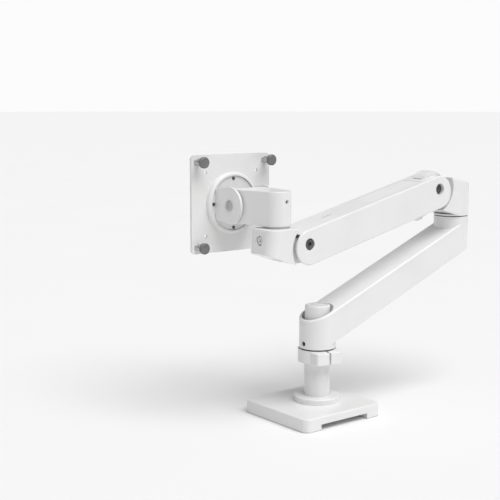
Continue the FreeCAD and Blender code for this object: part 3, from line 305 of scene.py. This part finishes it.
def bush_plastic():
    """Dark bearing plastic, dusty in places and polished where it runs."""
    material, tree, bsdf = new_material("bush_plastic")
    dust = spread(tree, noise(tree, 160.0, 5.0), 0.45, 0.75, 0.0, 0.6)
    base = blend_colours(tree, dust, (0.030, 0.030, 0.033), (0.085, 0.084, 0.083))
    wear_and_highlight = edge_wear_and_highlight(tree, 0.2 * MM, 600.0)
    colour = blend_colours(tree, spread(tree, wear_and_highlight, 0.0, 1.0, 0.0, 0.5), base, (0.16, 0.16, 0.16))
    roughness = spread(tree, noise(tree, 260.0, 3.0), 0.3, 0.7, 0.36, 0.56)
    normal = bumped(tree, noise(tree, 1500.0, 2.0), 0.01 * MM, soft_edges(tree, 0.2 * MM))
    finish_shader(tree, bsdf, colour, roughness, normal)
    return material


def white_washer():
    """Natural bearing plastic, a little see-through and greyer at its edges."""
    material, tree, bsdf = new_material("white_washer")
    tone = spread(tree, noise(tree, 110.0, 3.0), 0.35, 0.65, 0.0, 1.0)
    base = blend_colours(tree, tone, (0.66, 0.66, 0.65), (0.58, 0.58, 0.575))
    wear_and_highlight = edge_wear_and_highlight(tree, 0.2 * MM, 500.0)
    colour = blend_colours(tree, spread(tree, wear_and_highlight, 0.0, 1.0, 0.0, 0.5), base, (0.46, 0.46, 0.455))
    roughness = spread(tree, noise(tree, 420.0, 3.0), 0.3, 0.7, 0.42, 0.58)
    normal = bumped(tree, noise(tree, 1700.0, 2.0), 0.01 * MM, soft_edges(tree, 0.2 * MM))
    bsdf.inputs["Subsurface Weight"].default_value = 0.15
    bsdf.inputs["Subsurface Radius"].default_value = (1.2 * MM, 1.0 * MM, 0.8 * MM)
    finish_shader(tree, bsdf, colour, roughness, normal)
    return material


def spring_black():
    """The gas spring's black paint: glossy, with drips of thickness and chipped rims."""
    material, tree, bsdf = new_material("spring_black")
    tone = spread(tree, noise(tree, 70.0, 4.0), 0.35, 0.65, 0.0, 1.0)
    base = blend_colours(tree, tone, (0.014, 0.014, 0.016), (0.03, 0.03, 0.032))
    chips = edge_wear_and_highlight(tree, 0.35 * MM, 420.0)
    colour = blend_colours(tree, chips, base, (0.22, 0.22, 0.22))
    roughness = spread(tree, noise(tree, 200.0, 4.0), 0.3, 0.7, 0.22, 0.36)
    normal = bumped(tree, noise(tree, 260.0, 2.0), 0.03 * MM, soft_edges(tree, 0.35 * MM))
    bsdf.inputs["Coat Weight"].default_value = 0.3
    bsdf.inputs["Coat Roughness"].default_value = 0.15
    finish_shader(tree, bsdf, colour, roughness, normal)
    return material


def polished_rod():
    """Hard-chromed rod with faint lengthwise rubbing."""
    material, tree, bsdf = new_material("polished_rod")
    film = spread(tree, noise(tree, 240.0, 4.0, (0.2, 1, 1)), 0.35, 0.7, 0.0, 0.6)
    base = blend_colours(tree, film, (0.74, 0.75, 0.77), (0.62, 0.61, 0.58))
    wear_and_highlight = edge_wear_and_highlight(tree, 0.25 * MM, 600.0)
    colour = blend_colours(tree, wear_and_highlight, base, (0.86, 0.86, 0.86))
    roughness = spread(tree, noise(tree, 900.0, 4.0, (0.1, 1, 1)), 0.3, 0.7, 0.06, 0.16)
    normal = bumped(tree, noise(tree, 1400.0, 2.0, (0.1, 1, 1)), 0.003 * MM, soft_edges(tree, 0.25 * MM))
    bsdf.inputs["Metallic"].default_value = 1.0
    finish_shader(tree, bsdf, colour, roughness, normal)
    return material


FINISHES = {make.__name__: make() for make in (
    white_paint, white_cast, white_plastic, pad_rubber, dark_steel, bright_steel, grey_screw, bush_plastic,
    white_washer, spring_black, polished_rod)}


def dress_frame():
    """Give every CAD node the finish of its material slot."""
    for part in frame["record"]["subparts"]:
        mesh = nodes[part["node"]].data
        finish = FINISHES[part["material_slot"]]
        if not mesh.materials:
            mesh.materials.append(finish)
        for index in range(len(mesh.materials)):
            mesh.materials[index] = finish


dress_frame()


# ---------------------------------------------------------------- turned pieces

AXES = {"x": (Vector((1, 0, 0)), Vector((0, 1, 0)), Vector((0, 0, 1))),
        "y": (Vector((0, 1, 0)), Vector((0, 0, 1)), Vector((1, 0, 0))),
        "z": (Vector((0, 0, 1)), Vector((1, 0, 0)), Vector((0, 1, 0)))}


def six_sided(radius):
    """The radius of a hexagon's outline at each angle, for a socket with this corner radius."""
    flat = radius * math.cos(math.pi / 6)
    return lambda angle, along: flat / math.cos(angle % (math.pi / 3) - math.pi / 6)


def knurled(radius, depth, teeth, lead):
    """A diamond knurl: two crossed spirals of grooves."""
    def outline(angle, along):
        one = abs(math.sin(teeth / 2 * (angle + along / lead)))
        other = abs(math.sin(teeth / 2 * (angle - along / lead)))
        return radius - depth * (1 - min(one, other) ** 0.7)
    return outline


def threaded(radius, depth, pitch):
    """A screw thread: the radius falls and rises once a turn as it advances by the pitch."""
    def outline(angle, along):
        phase = (along / pitch - angle / (2 * math.pi)) % 1
        return radius - depth * min(1, 1.25 * (1 - abs(2 * phase - 1)))
    return outline


def run(start, end, count, radius):
    """Rings at even spaces along a knurled or threaded length."""
    return [(start + (end - start) * i / count, radius) for i in range(count + 1)]


def turned(mesh, origin, axis, rings, steps=72, facing=1):
    """Add a closed turned solid.  Rings are (distance along the axis, radius or outline)."""
    ahead, right, up = axis if isinstance(axis, tuple) else AXES[axis]
    ahead = ahead * facing
    right = right * facing
    loops = []
    for along, radius in rings:
        loop = []
        for step in range(steps):
            angle = 2 * math.pi * step / steps
            distance = radius(angle, along) if callable(radius) else radius
            spoke = right * math.cos(angle) + up * math.sin(angle)
            loop.append(mesh.verts.new((origin + ahead * along + spoke * distance) * MM))
        loops.append(loop)
    for low, high in zip(loops, loops[1:]):
        for step in range(steps):
            after = (step + 1) % steps
            mesh.faces.new((low[step], low[after], high[after], high[step]))
    for loop, (along, radius), last in ((loops[0], rings[0], False), (loops[-1], rings[-1], True)):
        middle = mesh.verts.new((origin + ahead * along) * MM)
        for step in range(steps):
            after = (step + 1) % steps
            corners = (loop[step], loop[after], middle) if last else (loop[after], loop[step], middle)
            mesh.faces.new(corners)


def piece(name, mesh, body, slot, *replaced):
    """Turn a bmesh into a piece that rides on a body and stands for CAD nodes."""
    bmesh.ops.recalc_face_normals(mesh, faces=mesh.faces)
    data = bpy.data.meshes.new(name)
    mesh.to_mesh(data)
    mesh.free()
    data.shade_smooth()
    data.set_sharp_from_angle(angle=math.radians(32))
    data.materials.append(FINISHES[slot])
    made = bpy.data.objects.new(name, data)
    bpy.context.scene.collection.objects.link(made)
    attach(made, body)
    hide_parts(*replaced)


def node_box(node):
    low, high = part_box(node)
    return low / MM, high / MM


def middle(node):
    low, high = node_box(node)
    return (low + high) / 2


def socket_head(bottom, top, radius, chamfer, hex_radius, hex_depth):
    """Rings of a chamfered screw head with a hexagonal socket, from its underside to the socket's floor."""
    rim = six_sided(hex_radius)
    mouth = six_sided(hex_radius + 0.25)
    return [(bottom, radius), (top - chamfer, radius), (top - 0.3 * chamfer, radius - 0.3 * chamfer),
            (top, radius - chamfer), (top, mouth), (top - 0.25, rim), (top - hex_depth, rim)]


def thumbscrew_places():
    """The middle of each of the four display screws, where it meets the plate's rear face."""
    low, high = node_box("vesa_plate")
    centre = (low + high) / 2
    return [Vector((centre.x + across * SCREW_SPACING / 2, low.y, centre.z + height * SCREW_SPACING / 2))
            for across in (-1, 1) for height in (-1, 1)]


def make_thumbscrews():
    """Four display screws: bright thread, shoulder and stem, and a darker knurled head, dished in front."""
    low, high = node_box("thumbscrews")
    back = node_box("vesa_plate")[0].y
    tip, front = low.y - back, high.y - back
    radius, stem, face = THUMB_RADIUS, STEM_RADIUS, PLATE_THICKNESS
    shank = [(tip, 1.2), (tip + 0.5, 1.6)] + run(tip + 0.7, -0.3, 56, threaded(2.0, 0.42, 0.7))
    shank += [(-0.1, 2.0), (0.0, SHOULDER_RADIUS), (face, SHOULDER_RADIUS), (face, stem - 0.1),
              (face + 0.2, stem + 0.1), (face + 0.8, stem + 0.1), (face + 1.0, stem - 0.2),
              (face + 1.6, stem - 0.2), (face + 1.8, stem), (front - 4.4, stem), (front - 4.2, stem - 0.2)]
    head = [(front - 4.25, stem + 0.2), (front - 4.2, radius - 0.9), (front - 3.9, radius - 0.45)]
    head += run(front - 3.7, front - 0.7, 12, knurled(radius, KNURL_DEPTH, KNURL_TEETH, KNURL_LEAD))
    head += [(front - 0.45, radius - 0.45), (front - 0.05, radius - 0.95), (front, radius - 1.4),
             (front - 0.05, radius - 2.1), (front - 0.4, radius - 2.6), (front - 0.5, 1.0)]
    for name, rings, steps, finish in (("thumbscrew_stems", shank, 60, "bright_steel"),
                                       ("thumbscrew_heads", head, 204, "grey_screw")):
        mesh = bmesh.new()
        for origin in thumbscrew_places():
            turned(mesh, origin, "y", rings, steps=steps)
        piece(name, mesh, "plate", finish, "thumbscrews")


def make_pivot_bolts(node, body, name, head_radius, head_top, hex_radius, hex_depth):
    """The pair of shoulder bolts on a pivot, one from each side."""
    mesh = bmesh.new()
    centre = middle(node)
    for side in (1, -1):
        rings = [(7.0, PIVOT_SHANK - 0.6), (7.6, PIVOT_SHANK), (RECESS_FLOOR - 0.1, PIVOT_SHANK)]
        rings += [(RECESS_FLOOR - 0.1, head_radius - 0.1)]
        rings += socket_head(RECESS_FLOOR, head_top, head_radius, 0.5, hex_radius, hex_depth)
        turned(mesh, Vector((centre.x, 0, centre.z)), "y", rings, facing=side)
    piece(name, mesh, body, "dark_steel", node)


def make_tilt_bolt():
    """The tilt axle: a long shoulder, a thin round head with a socket, and a thread at its other end."""
    mesh = bmesh.new()
    low, high = node_box("tilt_bolt")
    centre = (low + high) / 2
    length = high.x - low.x
    shoulder_start, head_start = 4.6, length - 1.6
    rings = [(0.0, 2.2), (0.5, 2.7)] + run(0.7, shoulder_start - 0.2, 30, threaded(3.0, 0.5, 1.0))
    rings += [(shoulder_start, 3.0), (shoulder_start, 4.7), (shoulder_start + 0.4, 5.0), (head_start, 5.0),
              (head_start, 6.2)]
    rings += socket_head(head_start + 0.1, length, 6.3, 0.45, 3.4, 0.9)
    turned(mesh, Vector((low.x, centre.y, centre.z)), "x", rings)
    piece("tilt_axle", mesh, "tilt", "bright_steel", "tilt_bolt")


def make_rotor_screws():
    """Four small screws round the disc, with chamfered heads and sockets."""
    mesh = bmesh.new()
    low, high = node_box("rotor_screws")
    centre = (low + high) / 2
    ring = (high.x - low.x) / 2 - 1.95
    length = high.y - low.y
    for quarter in range(4):
        angle = quarter * math.pi / 2
        origin = Vector((centre.x + ring * math.cos(angle), low.y, centre.z + ring * math.sin(angle)))
        rings = [(0.0, 0.9), (0.3, 1.1)] + run(0.4, length - 1.3, 44, threaded(1.3, 0.22, 0.45))
        rings += [(length - 0.9, 1.25), (length - 0.9, 1.85)]
        rings += socket_head(length - 0.85, length, 1.95, 0.3, 1.0, 0.7)
        turned(mesh, origin, "y", rings, steps=36)
    piece("disc_screws", mesh, "tilt", "dark_steel", "rotor_screws")


def make_collar_screw():
    """The height collar's cap screw, on the collar's own slant."""
    mesh = bmesh.new()
    centre = middle("collar_screw")
    turn = Matrix.Rotation(COLLAR_TURN, 3, "Z")
    ahead = turn @ Vector((-1, 0, 0))
    sideways = turn @ Vector((0, -1, 0))
    axis = (ahead, sideways, Vector((0, 0, 1)))
    on_axis = turn @ Vector((0, COLLAR_SCREW_AWAY, 0))
    origin = Vector((on_axis.x, on_axis.y, centre.z))
    rings = [(-12.0, 1.7), (-11.5, 2.2)] + run(-11.3, 11.0, 168, threaded(2.5, 0.4, 0.8))
    rings += [(12.0, 2.4), (12.0, 4.1)] + socket_head(12.2, 17.0, 4.3, 0.5, 2.3, 3.0)
    turned(mesh, origin, axis, rings, steps=48)
    piece("collar_cap_screw", mesh, "collar", "dark_steel", "collar_screw")


def make_hub_screw():
    """The lower hub's grub screw, a little below the surface."""
    mesh = bmesh.new()
    low, high = node_box("hub_set_screw")
    length = high.x - low.x
    rings = [(0.0, 1.9), (0.4, 2.6)] + run(0.5, length - 0.7, 12, threaded(3.0, 0.4, 1.0))
    rings += socket_head(length - 0.5, length, 2.75, 0.3, 1.7, 2.4)
    turned(mesh, Vector((low.x, 0, (low.z + high.z) / 2)), "x", rings, steps=48)
    piece("hub_grub_screw", mesh, "lower", "dark_steel", "hub_set_screw")


def make_stop_screw():
    """The cap screw in the front knuckle's nose."""
    mesh = bmesh.new()
    low, high = node_box("pan_stop_screw")
    length = high.x - low.x
    rings = [(0.0, 1.7), (0.4, 2.1)] + run(0.6, length - 3.3, 68, threaded(2.5, 0.4, 0.8))
    rings += [(length - 3.0, 2.4), (length - 3.0, 4.2)]
    rings += socket_head(length - 2.8, length, 4.4, 0.5, 2.2, 2.0)
    turned(mesh, Vector((low.x, 0, (low.z + high.z) / 2)), "x", rings, steps=48)
    piece("nose_screw", mesh, "front", "white_plastic", "pan_stop_screw")


make_thumbscrews()
make_pivot_bolts("front_pivot_bolts", "front", "front_shoulder_bolts", 6.3, 21.2, 2.9, 2.4)
make_pivot_bolts("rear_pivot_bolts", "elbow", "rear_shoulder_bolts", 7.0, 17.8, 2.6, 0.6)
make_tilt_bolt()
make_rotor_screws()
make_collar_screw()
make_hub_screw()
make_stop_screw()


# ---------------------------------------------------------------- floor, light and camera

def floor_material():
    """Pale matt floor with a very faint mottle."""
    material, tree, bsdf = new_material("studio_floor")
    mottle = spread(tree, noise(tree, 3.0, 4.0), 0.3, 0.7, 0.0, 1.0)
    colour = blend_colours(tree, mottle, (0.89, 0.89, 0.89), (0.88, 0.88, 0.88))
    roughness = spread(tree, noise(tree, 40.0, 3.0), 0.3, 0.7, 0.85, 0.95)
    normal = bumped(tree, noise(tree, 600.0, 2.0), 0.01 * MM)
    bsdf.inputs["Specular IOR Level"].default_value = 0.1
    finish_shader(tree, bsdf, colour, roughness, normal)
    return material


def make_floor():
    """A wide flat round floor, finer near the arm."""
    mesh = bmesh.new()
    steps = 96
    centre = mesh.verts.new((0, 0, 0))
    turns = [2 * math.pi * step / steps for step in range(steps)]
    loops = [[mesh.verts.new((radius * math.cos(turn), radius * math.sin(turn), 0)) for turn in turns]
             for radius in (0.5, 1.5, 4.0, 12.0, 40.0)]
    for step in range(steps):
        mesh.faces.new((centre, loops[0][step], loops[0][(step + 1) % steps]))
    for low, high in zip(loops, loops[1:]):
        for step in range(steps):
            after = (step + 1) % steps
            mesh.faces.new((low[step], high[step], high[after], low[after]))
    data = bpy.data.meshes.new("studio_floor")
    mesh.to_mesh(data)
    mesh.free()
    data.materials.append(floor_material())
    made = bpy.data.objects.new("studio_floor", data)
    bpy.context.scene.collection.objects.link(made)


def soft_sun(name, toward, strength, softness):
    """A broad soft light from the direction of the vector toward, its spread given in degrees."""
    data = bpy.data.lights.new(name, "SUN")
    data.energy = strength
    data.angle = math.radians(softness)
    light = bpy.data.objects.new(name, data)
    light.rotation_euler = Vector(toward).to_track_quat("Z", "Y").to_euler()
    bpy.context.scene.collection.objects.link(light)


def make_light():
    """Dim white surroundings that look white when seen directly, and two broad soft lights."""
    world = bpy.data.worlds.new("studio")
    world.use_nodes = True
    tree = world.node_tree
    background = tree.nodes["Background"]
    background.inputs["Color"].default_value = (1.0, 1.0, 1.0, 1.0)
    seen = add(tree, "ShaderNodeLightPath").outputs["Is Camera Ray"]
    tree.links.new(spread(tree, seen, 0.0, 1.0, LIT_BY_SKY, SEEN_SKY), background.inputs["Strength"])
    bpy.context.scene.world = world
    soft_sun("long_side", KEY_FROM, KEY_LIGHT, KEY_SPREAD)
    soft_sun("above", (0.0, 0.0, 1.0), TOP_LIGHT, TOP_SPREAD)


def make_camera():
    data = bpy.data.cameras.new("camera")
    data.sensor_width = 36.0
    data.lens = CAMERA_LENS
    data.clip_start, data.clip_end = 0.02, 200.0
    camera = bpy.data.objects.new("camera", data)
    camera.location = CAMERA_PLACE
    camera.rotation_euler = (math.radians(90 - CAMERA_TILT), 0.0, math.radians(CAMERA_TURN))
    bpy.context.scene.collection.objects.link(camera)
    bpy.context.scene.camera = camera


make_floor()
make_light()
make_camera()
bpy.context.scene.view_settings.view_transform = "Standard"
